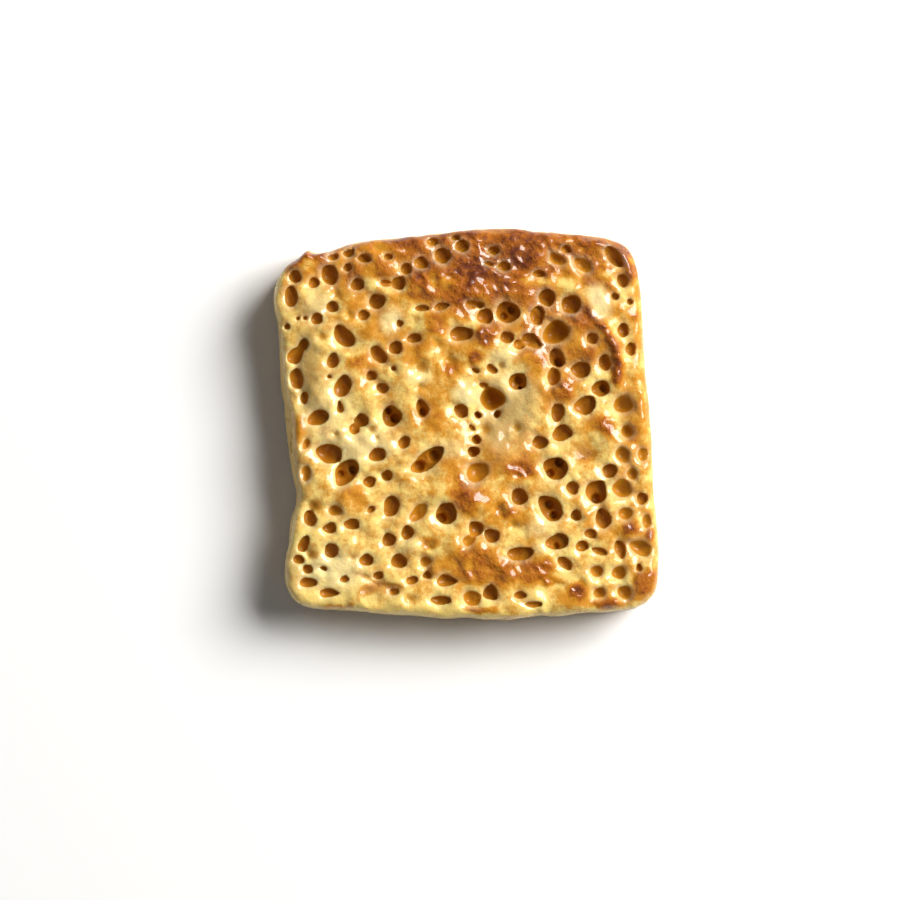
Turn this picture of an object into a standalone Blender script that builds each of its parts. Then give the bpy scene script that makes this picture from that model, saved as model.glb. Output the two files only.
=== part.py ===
"""A square griddled crumpet, lying on its flat base with its pored face up.

One solid: a loft from a flat base through near-upright sides and a soft
shoulder to a gently uneven top, with bubble tunnels opened in that top.
Metres, +Z up. The origin is the middle of the base.
"""

import math
import random

import bmesh
import bpy
from mathutils import Matrix, Vector

MM = 0.001
NAME = "crumpet"

# Driving sizes, in millimetres.
HEIGHT = 19.5
DOME_DROP = 0.65
HALF_WIDTH = 48.5
SEED = 41

# The plan outline, in millimetres, anticlockwise from the front left corner.
OUTLINE = (
    # front edge, bowed outwards
    (-41.0, -45.0), (-33.0, -46.5), (-14.0, -48.0), (6.0, -48.7), (24.0, -47.7), (38.0, -46.6),
    # front right corner and the right side, which leans in towards the back
    (43.5, -45.3), (47.2, -41.0), (48.4, -33.0), (47.0, -17.0), (46.3, 0.0), (44.6, 17.0), (43.8, 31.0),
    # back right corner, the roundest one, and the back edge
    (42.3, 39.3), (38.5, 45.1), (28.0, 47.6), (8.0, 48.7), (-10.0, 47.5), (-26.0, 45.4), (-36.2, 42.8),
    # back left corner with its small curl, and the left side with its pinch
    (-39.4, 43.5), (-42.2, 41.6), (-45.0, 39.4), (-47.2, 35.6), (-48.0, 31.0), (-47.0, 23.0),
    (-46.5, 11.0), (-45.0, -1.0),
    (-43.7, -12.0), (-42.4, -18.5), (-44.0, -25.0), (-45.2, -35.0), (-44.5, -41.0),
)
SPREAD = 1.018
KNOT_STEPS = 24
AROUND = 64

# Side profile: how far each ring stands in from the outline, and its height.
SIDE = ((1.9, 0.0), (0.6, 0.6), (0.0, 2.2), (0.1, 8.0), (0.4, 13.5), (1.0, 17.2), (2.0, 18.7), (3.8, 19.35))
ROLL_FROM = 17.2
ROLL_TO = 19.35
RIM_DROP = 0.4
TOP_RINGS = 6
LEFT_LEAN = 2.0
LEFT_LEAN_REACH = 15.0
LEAN_FROM = 8.0

# Swells and hollows of the top: x, y, reach and height, in millimetres.
SWELLS = (
    (0.0, 35.0, 10.0, 0.8), (34.0, 21.0, 7.0, 0.7), (2.0, -18.0, 5.0, 0.9), (12.0, -36.0, 9.0, 0.7),
    (44.0, -38.0, 6.0, 0.7), (-12.0, 16.0, 6.0, 0.5), (-24.0, 40.0, 6.0, 0.4), (-28.0, -18.0, 7.0, 0.4),
    (8.0, 3.0, 8.0, -1.1), (-39.0, 9.0, 6.0, -1.0), (31.0, -7.0, 4.0, -1.2), (22.0, -42.5, 4.0, -0.9),
    (-23.0, -41.0, 5.0, -0.7), (18.0, 8.0, 5.0, -0.5),
)

# The larger bubble tunnels: x, y, length, width in millimetres, turn in degrees.
TUNNELS = (
    # back left
    (-44.0, 32.0, 4.8, 3.2, 95), (-34.5, 37.5, 4.9, 4.0, 100), (-17.0, 35.5, 3.3, 3.2, 0),
    (-22.5, 31.0, 3.9, 3.6, 0), (-30.5, 22.0, 6.2, 4.0, -50), (-43.0, 17.0, 4.4, 3.4, 60),
    (-33.5, 16.0, 4.0, 2.8, 80), (-22.0, 17.5, 5.0, 3.0, -45), (-27.5, 35.0, 3.2, 3.0, 0),
    # back middle
    (-6.0, 42.0, 4.0, 3.6, 0), (-1.0, 44.5, 3.3, 2.8, 0), (4.5, 27.0, 3.8, 3.7, 0),
    (10.5, 28.0, 5.6, 5.2, 0), (-1.5, 22.5, 5.6, 3.4, 0), (10.0, 21.5, 3.2, 2.8, 0),
    # back right
    (20.0, 32.0, 4.0, 3.9, 0), (26.5, 30.0, 4.6, 4.6, 0), (17.5, 27.0, 4.0, 3.2, 80),
    (15.5, 21.0, 4.6, 3.0, -25), (22.5, 23.0, 5.4, 4.5, 0), (22.5, 16.5, 4.6, 3.6, -70),
    (39.5, 23.5, 3.4, 2.8, 90), (36.5, 41.5, 5.2, 2.9, -50), (35.0, 15.5, 3.8, 2.8, -75),
    # middle left
    (-42.5, 11.5, 4.8, 3.4, 90), (-31.0, 9.5, 5.2, 4.2, 60), (-37.0, 1.5, 5.4, 3.3, 15),
    (-27.0, 0.0, 5.4, 4.2, 45), (-18.5, 2.0, 5.2, 4.6, 90), (-34.5, -7.5, 6.0, 4.8, -10),
    (-30.0, -12.5, 7.0, 4.4, 50), (-22.5, -7.5, 4.1, 3.2, 15), (-40.5, -12.5, 4.0, 2.4, 90),
    # middle
    (-11.0, 4.0, 4.2, 2.9, 105), (-1.5, 3.5, 3.7, 3.0, -55), (-10.0, -9.0, 9.2, 4.0, 35),
    (3.0, -12.0, 6.0, 4.4, 20), (6.5, 6.5, 6.2, 5.2, 0), (13.0, 10.5, 4.2, 4.2, 0),
    # middle right
    (22.0, 11.5, 4.0, 3.0, 80), (28.5, 13.5, 4.6, 3.9, -10), (33.5, 9.0, 4.4, 3.7, 10),
    (30.0, 4.5, 5.2, 4.0, 20), (39.5, 5.0, 4.4, 4.3, 0), (23.0, 3.0, 4.3, 3.2, 75),
    (24.0, -2.5, 4.8, 3.6, 20), (18.5, -4.5, 3.7, 3.1, 10), (39.5, -8.0, 4.1, 3.5, -60),
    (44.0, -7.5, 3.3, 2.6, 90), (36.0, -11.5, 3.4, 3.3, 0), (22.5, -11.0, 5.9, 5.4, 0),
    (32.5, -17.0, 5.6, 5.0, 90), (39.0, -16.0, 4.8, 4.4, 90),
    # front left
    (-39.0, -23.5, 3.9, 3.0, -55), (-34.5, -26.0, 3.5, 2.3, 5), (-28.5, -25.0, 3.6, 2.6, 0),
    (-19.0, -20.5, 5.1, 3.8, 75), (-41.0, -30.0, 4.1, 2.4, 65), (-34.0, -31.5, 3.5, 3.5, 0),
    (-25.0, -34.0, 3.4, 2.7, 15), (-19.5, -29.0, 3.3, 3.1, 0), (-39.5, -40.0, 4.1, 2.3, 0),
    # front middle
    (-15.0, -27.0, 3.5, 2.8, 65), (-12.0, -22.0, 5.4, 3.0, 45), (-5.0, -22.5, 5.4, 4.8, 90),
    (2.5, -26.0, 3.7, 3.3, -60), (6.5, -28.5, 3.5, 3.3, 0), (13.5, -18.0, 4.0, 4.0, 0),
    (13.5, -32.5, 6.2, 3.3, 5), (-17.0, -34.5, 4.0, 3.3, 0), (-5.0, -39.0, 4.6, 2.7, 0),
    (1.5, -43.5, 4.2, 3.6, -20), (6.5, -42.0, 3.6, 3.3, 0),
    # front right
    (21.0, -21.0, 6.8, 5.0, -45), (34.5, -23.5, 4.6, 3.8, -70), (40.0, -22.5, 3.7, 2.9, 0),
    (23.0, -29.5, 5.6, 3.6, 15), (38.5, -31.5, 4.4, 2.4, -75), (43.5, -31.0, 5.4, 3.4, -20),
    (24.5, -35.0, 4.0, 2.4, -42), (38.5, -37.5, 3.5, 3.2, 0), (39.5, -42.0, 3.5, 3.2, 0),
)
TUNNEL_BASE_DEPTH = 2.6
TUNNEL_DEPTH_PER_WIDTH = 1.35
TUNNEL_BELLY = 1.05
TUNNEL_SIDES = 7
TUNNEL_STEPS = 6

# Small bubbles, scattered between the tunnels.
SMALL_WIDTHS = (2.0, 2.6)
SMALL_DEPTH = 3.2
SMALL_SIDES = 6
SMALL_TRIES = 2600
SMALL_GAP = 2.4
SMALL_REACH = 0.91
FLOOR_TAPER = 0.7

SHARP_ANGLE = math.radians(35)
CRUMB_COLOR = (0.80, 0.60, 0.28, 1.0)
CRUMB_ROUGHNESS = 0.62


def clear_scene():
    """Remove whatever the file opened with."""
    for obj in list(bpy.data.objects):
        bpy.data.objects.remove(obj, do_unlink=True)


def new_collection(name):
    """A collection of this name, linked to the scene."""
    collection = bpy.data.collections.new(name)
    bpy.context.scene.collection.children.link(collection)
    return collection


def crumb_material():
    """Golden griddled batter, slightly glossy."""
    material = bpy.data.materials.new("griddled_crumb")
    material.use_nodes = True
    shader = material.node_tree.nodes["Principled BSDF"]
    shader.inputs["Base Color"].default_value = CRUMB_COLOR
    shader.inputs["Roughness"].default_value = CRUMB_ROUGHNESS
    shader.inputs["Metallic"].default_value = 0.0
    return material


def spline_point(before, start, end, after, t):
    """A point of the smooth curve from start to end, t of the way."""
    return 0.5 * (
        2 * start
        + (end - before) * t
        + (2 * before - 5 * start + 4 * end - after) * t**2
        + (3 * (start - end) + after - before) * t**3
    )


def outline_points():
    """The plan outline as AROUND evenly spaced points."""
    knots = [Vector(knot) * SPREAD for knot in OUTLINE]
    fine = []
    for i in range(len(knots)):
        corners = [knots[(i + k) % len(knots)] for k in (-1, 0, 1, 2)]
        fine += [spline_point(*corners, step / KNOT_STEPS) for step in range(KNOT_STEPS)]
    lengths = [(fine[(i + 1) % len(fine)] - p).length for i, p in enumerate(fine)]
    spacing = sum(lengths) / AROUND
    points = []
    walked = 0.0
    for p, length in zip(fine, lengths):
        if walked >= len(points) * spacing and len(points) < AROUND:
            points.append(p)
        walked += length
    return points


def centre_of(points):
    """The middle of the box round these plan points."""
    xs = [p.x for p in points]
    ys = [p.y for p in points]
    return Vector(((min(xs) + max(xs)) / 2, (min(ys) + max(ys)) / 2))


def relief(x, y):
    """How far the uneven top stands above or below its dome, in millimetres."""
    total = 0.0
    for sx, sy, reach, height in SWELLS:
        away = ((x - sx) ** 2 + (y - sy) ** 2) / reach**2
        total += height * math.exp(-away)
    return total


def top_height(x, y):
    """The height of the top above the base, in millimetres, away from its rim."""
    out = (x * x + y * y) / HALF_WIDTH**2
    return HEIGHT - DOME_DROP * out + relief(x, y)


def lean_in(y, x, z):
    """How much further the left side stands in above the mould's line."""
    if x > 0 or z < LEAN_FROM:
        return 0.0
    rise = min(1.0, (z - LEAN_FROM) / (HEIGHT - LEAN_FROM))
    return LEFT_LEAN * rise * math.exp(-((y / LEFT_LEAN_REACH) ** 2))


def side_point(p, inset, z):
    """A point of a side ring, in millimetres."""
    factor = 1 - inset / HALF_WIDTH
    x = p.x * factor + lean_in(p.y, p.x, z) * min(1.0, -p.x / HALF_WIDTH)
    y = p.y * factor
    roll = max(0.0, (z - ROLL_FROM) / (ROLL_TO - ROLL_FROM))
    return Vector((x, y, z + roll * (top_height(x, y) - HEIGHT + RIM_DROP)))


def body_rings(points):
    """Rings of points from the base up the side and in across the top."""
    rings = [[side_point(p, inset, z) for p in points] for inset, z in SIDE]
    rim = rings[-1]
    for step in range(1, TOP_RINGS):
        factor = 1 - step / TOP_RINGS
        ring = []
        for p in rim:
            x = p.x * factor
            y = p.y * factor
            ring.append(Vector((x, y, top_height(x, y))))
        rings.append(ring)
    return rings


def loft(rings):
    """A closed mesh through the rings, with a flat base and a centre on top."""
    bm = bmesh.new()
    loops = [[bm.verts.new(p * MM) for p in ring] for ring in rings]
    bm.faces.new(list(reversed(loops[0])))
    for lower, upper in zip(loops, loops[1:]):
        for i in range(len(lower)):
            j = (i + 1) % len(lower)
            bm.faces.new((lower[i], lower[j], upper[j], upper[i]))
    peak = bm.verts.new(Vector((0, 0, top_height(0, 0))) * MM)
    last = loops[-1]
    for i in range(len(last)):
        bm.faces.new((last[i], last[(i + 1) % len(last)], peak))
    bmesh.ops.triangulate(bm, faces=[face for face in bm.faces if len(face.verts) == 4])
    return bm


def new_object(name, bm, collection):
    """An object of this mesh, linked to the collection."""
    mesh = bpy.data.meshes.new(name)
    bm.to_mesh(mesh)
    bm.free()
    obj = bpy.data.objects.new(name, mesh)
    collection.objects.link(obj)
    return obj


def place_cutter(obj):
    """Mark an object as a cutter only."""
    obj.hide_render = True
    obj.display_type = "WIRE"


def tunnel_cutter(name, tunnel, centre, collection):
    """A round-floored tunnel, a little wider below its mouth."""
    x, y, long, wide, turn = tunnel
    x -= centre.x
    y -= centre.y
    depth = TUNNEL_BASE_DEPTH + TUNNEL_DEPTH_PER_WIDTH * wide
    mouth_lift = math.sqrt(1 - 1 / TUNNEL_BELLY**2)
    half_height = depth / (1 + mouth_lift)
    size = Vector((long / 2 * TUNNEL_BELLY, wide / 2 * TUNNEL_BELLY, half_height))
    bm = bmesh.new()
    bmesh.ops.create_uvsphere(bm, u_segments=TUNNEL_SIDES, v_segments=TUNNEL_STEPS, radius=MM)
    bmesh.ops.scale(bm, verts=bm.verts, vec=size)
    bmesh.ops.rotate(bm, verts=bm.verts, matrix=Matrix.Rotation(math.radians(turn), 3, "Z"))
    obj = new_object(name, bm, collection)
    obj.location = Vector((x, y, top_height(x, y) - mouth_lift * half_height)) * MM
    place_cutter(obj)


def bubble_cutter(name, x, y, wide, collection):
    """A small bubble, narrowing towards its floor. Half of the cutter stands above the top."""
    bm = bmesh.new()
    bmesh.ops.create_cone(
        bm,
        cap_ends=True,
        segments=SMALL_SIDES,
        radius1=wide / 2 * FLOOR_TAPER * MM,
        radius2=wide / 2 * (2 - FLOOR_TAPER) * MM,
        depth=2 * SMALL_DEPTH * MM,
    )
    obj = new_object(name, bm, collection)
    obj.location = Vector((x, y, top_height(x, y))) * MM
    obj.rotation_euler.z = wide
    place_cutter(obj)


def inside(x, y, points):
    """Whether a place is inside the closed line through these points."""
    within = False
    for i, a in enumerate(points):
        b = points[i - 1]
        if (a.y > y) != (b.y > y) and x < a.x + (b.x - a.x) * (y - a.y) / (b.y - a.y):
            within = not within
    return within


def bubble_places(points, centre):
    """Where the small bubbles go: seeded places clear of each other and of the tunnels."""
    rng = random.Random(SEED)
    bounds = [p * SMALL_REACH for p in points]
    taken = [(x - centre.x, y - centre.y, long / 2) for x, y, long, _, _ in TUNNELS]
    places = []
    for _ in range(SMALL_TRIES):
        x = rng.uniform(-HALF_WIDTH, HALF_WIDTH)
        y = rng.uniform(-HALF_WIDTH, HALF_WIDTH)
        wide = rng.uniform(*SMALL_WIDTHS)
        clear = all(
            math.hypot(x - tx, y - ty) > radius + wide / 2 + SMALL_GAP for tx, ty, radius in taken
        )
        if clear and inside(x, y, bounds):
            places.append((x, y, wide))
            taken.append((x, y, wide / 2))
    return places


def build():
    """Make the crumpet and the cutters that open its bubbles."""
    clear_scene()
    parts = new_collection(NAME)
    cutters = new_collection("bubble_cutters")
    outline = outline_points()
    centre = centre_of(outline)
    points = [p - centre for p in outline]
    for number, tunnel in enumerate(TUNNELS):
        tunnel_cutter(f"tunnel_{number:02d}", tunnel, centre, cutters)
    for number, (x, y, wide) in enumerate(bubble_places(points, centre)):
        bubble_cutter(f"bubble_{number:02d}", x, y, wide, cutters)
    crumpet = new_object(NAME, loft(body_rings(points)), parts)
    crumpet.data.materials.append(crumb_material())
    opened = crumpet.modifiers.new("open_bubbles", "BOOLEAN")
    opened.operation = "DIFFERENCE"
    opened.operand_type = "COLLECTION"
    opened.collection = cutters
    opened.solver = "EXACT"
    crumpet.data.shade_smooth()
    crumpet.data.set_sharp_from_angle(angle=SHARP_ANGLE)


build()
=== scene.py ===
"""The looks of a square griddled crumpet: bubbled sponge, browned crust and a plain studio.

The sponge is grown as a solid on a fine grid of cells: a lofted body, an
uneven top, and the bubbles that burst through it. A skin is drawn round that
solid, thinned, and dressed with one finish that reads where the batter is
browned, thin, open or pale, and that also holds painted highlight on the lit
rims of the mouths and painted shade in hollows and deep in the bubbles.

Sizes are in millimetres, unless a name or a note says metres.
"""

import itertools
import logging
import math
from collections.abc import Sequence
from dataclasses import dataclass
from enum import Enum

import bpy
import numpy as np
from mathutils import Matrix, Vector


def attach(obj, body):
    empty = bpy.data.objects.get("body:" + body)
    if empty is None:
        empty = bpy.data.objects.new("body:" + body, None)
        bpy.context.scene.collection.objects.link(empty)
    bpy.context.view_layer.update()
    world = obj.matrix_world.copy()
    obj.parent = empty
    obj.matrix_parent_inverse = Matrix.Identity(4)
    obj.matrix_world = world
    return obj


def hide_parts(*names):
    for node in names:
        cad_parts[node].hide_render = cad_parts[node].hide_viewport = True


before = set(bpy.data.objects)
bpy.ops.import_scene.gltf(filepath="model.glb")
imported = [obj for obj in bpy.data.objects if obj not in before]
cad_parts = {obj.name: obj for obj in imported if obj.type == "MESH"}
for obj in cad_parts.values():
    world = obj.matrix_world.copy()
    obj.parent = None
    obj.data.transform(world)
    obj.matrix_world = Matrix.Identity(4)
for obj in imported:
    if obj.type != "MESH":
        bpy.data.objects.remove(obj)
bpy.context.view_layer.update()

LOG = logging.getLogger("crumpet")

Array = np.ndarray
Place = tuple[float, float]
Tone = tuple[float, float, float, float]

MM = 0.001
NODE = "crumpet"
BODY = "root"
PIECE = "crumpet_sponge"
# values that each point carries: among them painted highlight round the mouths, painted shade in
# hollows, and pale patches that are partly painted highlight
PAINTED = ("toast", "sunk", "film", "pale", "painted_shade", "lip_and_highlight", "side", "base", "heat")


# ---------------------------------------------------------------- small maths


def step_up(low: float, high: float, values: Array) -> Array:
    """Rise smoothly from 0 at low to 1 at high.

    Args:
        low: Where the rise starts.
        high: Where it ends. Below low, it falls instead.
        values: What is compared.

    Returns:
        Numbers from 0 to 1.
    """
    t = np.clip((values - low) / (high - low), 0.0, 1.0)
    return t * t * (3.0 - 2.0 * t)


def soft_least(a: Array, b: Array, blend: float) -> Array:
    """The lesser of two distances, rounded where they meet.

    Args:
        a: One distance.
        b: The other.
        blend: How wide the rounding is.

    Returns:
        The blended distance.
    """
    h = np.clip(0.5 + 0.5 * (b - a) / blend, 0.0, 1.0)
    return b + (a - b) * h - blend * h * (1.0 - h)


def soft_most(a: Array, b: Array, blend: float) -> Array:
    """The greater of two distances, rounded where they meet."""
    return -soft_least(-a, -b, blend)


def round_edge(a: Array, b: Array, radius: Array | float) -> Array:
    """Where two half spaces overlap, with their edge rounded to a true radius.

    Args:
        a: Distance out of the first.
        b: Distance out of the second.
        radius: Radius of the edge between them.

    Returns:
        Distance out of the overlap.
    """
    out_a = a + radius
    out_b = b + radius
    corner = np.hypot(np.maximum(out_a, 0.0), np.maximum(out_b, 0.0))
    return np.minimum(np.maximum(out_a, out_b), 0.0) + corner - radius


def lumps(places: Sequence[Array], size: float, seed: int) -> Array:
    """Smooth random lumps, in as many dimensions as there are places.

    Args:
        places: One array of coordinates for each dimension.
        size: How far apart the lumps are.
        seed: Which lumps.

    Returns:
        Heights from -1 to 1.
    """
    side = 48
    lattice = np.random.default_rng(seed).uniform(-1.0, 1.0, (side,) * len(places))
    cells: list[Array] = []
    parts: list[Array] = []
    for place in places:
        scaled = place / size
        cell = np.floor(scaled)
        t = scaled - cell
        cells.append(cell.astype(np.int64))
        parts.append(t * t * (3.0 - 2.0 * t))
    total = np.zeros(np.broadcast(*places).shape)
    for corner in itertools.product((0, 1), repeat=len(places)):
        weight = 1.0
        for part, bit in zip(parts, corner):
            weight = weight * (part if bit else 1.0 - part)
        total += weight * lattice[tuple((c + bit) % side for c, bit in zip(cells, corner))]
    return total


def line_distance(x: Array, y: Array, points: Sequence[Place]) -> Array:
    """How far places are from a line through points.

    Args:
        x: Places across.
        y: Places along.
        points: The line's own points, in order.

    Returns:
        Distances, zero on the line.
    """
    nearest = np.full(np.broadcast(x, y).shape, np.inf)
    for (ax, ay), (bx, by) in itertools.pairwise(points):
        dx, dy = bx - ax, by - ay
        t = np.clip(((x - ax) * dx + (y - ay) * dy) / (dx * dx + dy * dy), 0.0, 1.0)
        nearest = np.minimum(nearest, np.hypot(x - ax - t * dx, y - ay - t * dy))
    return nearest


# ------------------------------------------------------------ the batter's form


@dataclass(frozen=True)
class Outline:
    """The plan outline of the crumpet.

    Attributes:
        knots: Points that the smooth line goes through, anticlockwise.
        steps: Points made between two knots.
        grown: How much wider than the knots the batter spread.
    """

    knots: tuple[Place, ...]
    steps: int = 12
    grown: float = 1.018

    def line(self) -> Array:
        """The smooth closed line.

        Returns:
            Its points, in order.
        """
        start = self.grown * np.array(self.knots)[:, None, :]
        before, end, after = (np.roll(start, shift, axis=0) for shift in (1, -1, -2))
        t = np.linspace(0.0, 1.0, self.steps, endpoint=False)[None, :, None]
        curve = 2 * start + (end - before) * t
        curve = curve + (2 * before - 5 * start + 4 * end - after) * t**2
        curve = curve + (3 * (start - end) + after - before) * t**3
        return (0.5 * curve).reshape(-1, 2)

    def distance(self, x: Array, y: Array) -> Array:
        """Signed distance to the outline.

        Args:
            x: Places across.
            y: Places along.

        Returns:
            Distances, negative inside.
        """
        line = self.line()
        closed = [tuple(p) for p in line] + [tuple(line[0])]
        inside = np.zeros(x.shape, bool)
        for (ax, ay), (bx, by) in itertools.pairwise(closed):
            if ay != by:
                crossing = ax + (bx - ax) * (y - ay) / (by - ay)
                inside ^= ((ay > y) != (by > y)) & (x < crossing)
        return np.where(inside, -1.0, 1.0) * line_distance(x, y, closed)


@dataclass(frozen=True)
class Oval:
    """An oval place on the top.

    Attributes:
        x: Its middle, across.
        y: Its middle, front to back.
        long: Its length.
        wide: Its width.
        turn: How far its length is turned from across, in degrees.
        amount: How strong it is, for what uses it.
    """

    x: float
    y: float
    long: float
    wide: float
    turn: float = 0.0
    amount: float = 1.0

    def along(self, x: Array, y: Array) -> tuple[Array, Array]:
        """Places measured along and across the oval, as parts of its half sizes.

        Args:
            x: Places across.
            y: Places front to back.

        Returns:
            Along the oval, and across it.
        """
        angle = math.radians(self.turn)
        dx, dy = x - self.x, y - self.y
        u = dx * math.cos(angle) + dy * math.sin(angle)
        v = dy * math.cos(angle) - dx * math.sin(angle)
        return u / (self.long / 2), v / (self.wide / 2)

    def reach(self, x: Array, y: Array) -> Array:
        """0 at the oval's middle, 1 on its line, more outside."""
        u, v = self.along(x, y)
        return np.hypot(u, v)


@dataclass(frozen=True)
class Fold:
    """A ridge or a crease that runs over the top.

    Attributes:
        points: The line it follows.
        height: How far it stands up, or down if negative.
        width: How wide it is.
        browned: How far it is browned.
    """

    points: tuple[Place, ...]
    height: float
    width: float
    browned: float = 0.0

    def nearness(self, x: Array, y: Array) -> Array:
        """1 on the fold's line, falling to 0 away from it."""
        return np.exp(-((line_distance(x, y, self.points) / (self.width / 2)) ** 2))


class Kind(Enum):
    """What became of a bubble."""

    TUNNEL = "burst, with a chamber below its mouth"
    BOWL = "burst and sunk, an open shallow bowl"
    BLISTER = "not burst, a thin film over a dimple"


@dataclass(frozen=True)
class Bubble:
    """One bubble of the top.

    Attributes:
        mouth: Its mouth's oval.
        kind: What became of it.
        point: How far the mouth narrows towards one end, from -1 to 1.
        wells: Deeper wells in a tunnel's floor: along, across, and radius.
        webs: Low walls across a tunnel's floor: how far along, and their turn in degrees.
        deep: How much deeper it is than others of its width.
    """

    mouth: Oval
    kind: Kind = Kind.TUNNEL
    point: float = 0.0
    wells: tuple[tuple[float, float, float], ...] = ()
    webs: tuple[tuple[float, float], ...] = ()
    deep: float = 1.0

    @property
    def depth(self) -> float:
        """How deep its floor lies.

        Returns:
            Millimetres below the top.
        """
        if self.kind is Kind.TUNNEL:
            return self.deep * min(3.2, 0.9 + 0.38 * self.mouth.wide)
        if self.kind is Kind.BOWL:
            return self.deep * min(2.4, 0.8 + 0.26 * self.mouth.wide)
        return self.deep * min(0.7, 0.2 + 0.1 * self.mouth.wide)

    @property
    def rng(self) -> np.random.Generator:
        """This bubble's own source of chance, the same each time."""
        return np.random.default_rng(round(abs(self.mouth.x) * 613 + abs(self.mouth.y) * 8191))

    def place(self, x: Array, y: Array) -> tuple[Array, Array, Array]:
        """Places in the mouth's own measure.

        Args:
            x: Places across.
            y: Places front to back.

        Returns:
            Along and across as parts of its half sizes, and the reach, which
            is 1 on the mouth's uneven rim.
        """
        u, v = self.mouth.along(x, y)
        v = v / np.clip(1.0 - self.point * u, 0.3, 1.7)
        angle = np.arctan2(v, u)
        chance = self.rng
        uneven = np.ones_like(angle)
        for waves, most in ((2, 0.05), (3, 0.06), (4, 0.03), (5, 0.025)):
            size = chance.uniform(0.4, 1.0) * most
            uneven += size * np.cos(waves * angle + chance.uniform(0.0, math.tau))
        return u, v, np.hypot(u, v) / uneven

    def rim_distance(self, x: Array, y: Array) -> Array:
        """How far places are from the mouth's rim.

        Args:
            x: Places across.
            y: Places front to back.

        Returns:
            Distances, negative inside the mouth.
        """
        u, v, reach = self.place(x, y)
        half_long, half_wide = self.mouth.long / 2, self.mouth.wide / 2
        slope = np.hypot(u / half_long, v / half_wide) + 1e-6
        return reach * (reach - 1.0) / slope

    def drawn(self, x: Array, y: Array) -> Array:
        """How far the batter is drawn down round the mouth, most on its front left."""
        dx, dy = x - self.mouth.x, y - self.mouth.y
        return 0.6 - 0.4 * (0.9 * dx + 0.42 * dy) / (np.hypot(dx, dy) + 0.5)

    def hollow(self, x: Array, y: Array, below: Array) -> Array:
        """Distance into the space that the bubble leaves.

        Args:
            x: Places across.
            y: Places front to back.
            below: How far places are below the top.

        Returns:
            Distances, negative inside the hollow.
        """
        u, v, reach = self.place(x, y)
        half_long, half_wide = self.mouth.long / 2, self.mouth.wide / 2
        if self.kind is not Kind.TUNNEL:
            return self._ball(u, v, reach, below + 0.3 * self.depth, 1.04, 1.3 * self.depth)
        slope = np.hypot(u / half_long, v / half_wide) + 1e-6
        middle = 0.4 * self.depth
        throat = np.maximum(reach * (reach - 1.0) / slope, below - middle)
        chamber = self._ball(u, v, reach, below - middle, 1.07, self.depth - middle)
        space = soft_least(throat, chamber, 0.35)
        for along, across, radius in self.wells:
            from_axis = np.hypot((u - along) * half_long, (v - across) * half_wide)
            low = np.maximum(below - self.depth - 0.3, 0.0)
            well = np.maximum(np.hypot(from_axis, low) - radius, middle - below)
            space = soft_least(space, well, 0.4)
        for along, turn in self.webs:
            lean = math.radians(turn)
            off = (u - along) * half_long * math.cos(lean) + v * half_wide * math.sin(lean)
            wall = np.maximum(np.abs(off) - 0.3, 0.85 * self.depth - below)
            space = np.maximum(space, -wall)
        return space

    def _ball(self, u: Array, v: Array, reach: Array, down: Array, grow: float, deep: float) -> Array:
        """A flattened ball under the mouth.

        Args:
            u: Places along the mouth, as parts of its half length.
            v: Places across it, as parts of its half width.
            reach: 1 on the mouth's rim.
            down: How far places are below the ball's middle.
            grow: How much wider than the mouth it is.
            deep: Its half height.

        Returns:
            Distances out of the ball.
        """
        half_long, half_wide = grow * self.mouth.long / 2, grow * self.mouth.wide / 2
        w = down / deep
        far = np.sqrt((reach / grow) ** 2 + w**2)
        slope = np.sqrt((u / grow / half_long) ** 2 + (v / grow / half_wide) ** 2 + (w / deep) ** 2)
        return far * (far - 1.0) / (slope + 1e-6)


def tunnels(*rows: tuple[float, ...]) -> tuple[Bubble, ...]:
    """Burst bubbles, each from its oval's numbers, then how pointed it is, if it is."""
    return tuple(Bubble(Oval(*row[:5]), point=sum(row[5:])) for row in rows)


def bowls(*rows: tuple[float, ...]) -> tuple[Bubble, ...]:
    """Sunk bubbles, each from its oval's numbers."""
    return tuple(Bubble(Oval(*row), Kind.BOWL) for row in rows)


def blisters(*rows: tuple[float, ...]) -> tuple[Bubble, ...]:
    """Bubbles that didn't burst, each from its oval's numbers."""
    return tuple(Bubble(Oval(*row), Kind.BLISTER) for row in rows)


def patches(*rows: tuple[float, ...]) -> tuple[Oval, ...]:
    """Oval places, each from its middle, length, width and strength, and its turn if it has one."""
    return tuple(Oval(*row[:4], turn=sum(row[5:]), amount=row[4]) for row in rows)


BACK_LEFT = tunnels(
    (-43, 37, 3, 2.8), (-44, 32, 5, 3.2, 95), (-38.3, 35.5, 2.6, 2.5), (-34.3, 37.5, 4.9, 4, 100),
    (-33.5, 42.2, 2.6, 2), (-29.5, 43.1, 3, 2, 15), (-25.6, 41.5, 3, 2, -10), (-29.8, 39.3, 2, 1.8),
    (-19.6, 41.9, 2.1, 1.4), (-27.3, 35, 3.2, 2.9), (-20.2, 35.3, 2.6, 1.6), (-17, 35.3, 3.3, 3.2),
    (-22.4, 30.8, 3.9, 3.6), (-33.6, 29.4, 2.9, 2.6), (-37.5, 26.4, 2.9, 2.6), (-25.8, 27.3, 2.6, 2.4),
    (-16.7, 25.2, 1.6, 1.6), (-30.7, 22, 6.2, 4, -50), (-43, 17.2, 4.4, 3.4, 60),
    (-41, 19.8, 3.2, 2.4, 60), (-33.5, 15.9, 3.9, 2.6, 80), (-22, 17.4, 5, 3, -45),
    (-17.7, 19.1, 3.3, 3), (-45, 24.5, 1.4, 1.4), (-40.5, 26.6, 1, 0.9), (-42.3, 26.5, 0.9, 0.9),
) + blisters(
    (-32.3, 32.8, 2.6, 2.4), (-35.8, 22, 3, 2), (-29, 27.4, 1.6, 1.5), (-22.3, 44.8, 2.8, 2),
)

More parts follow.
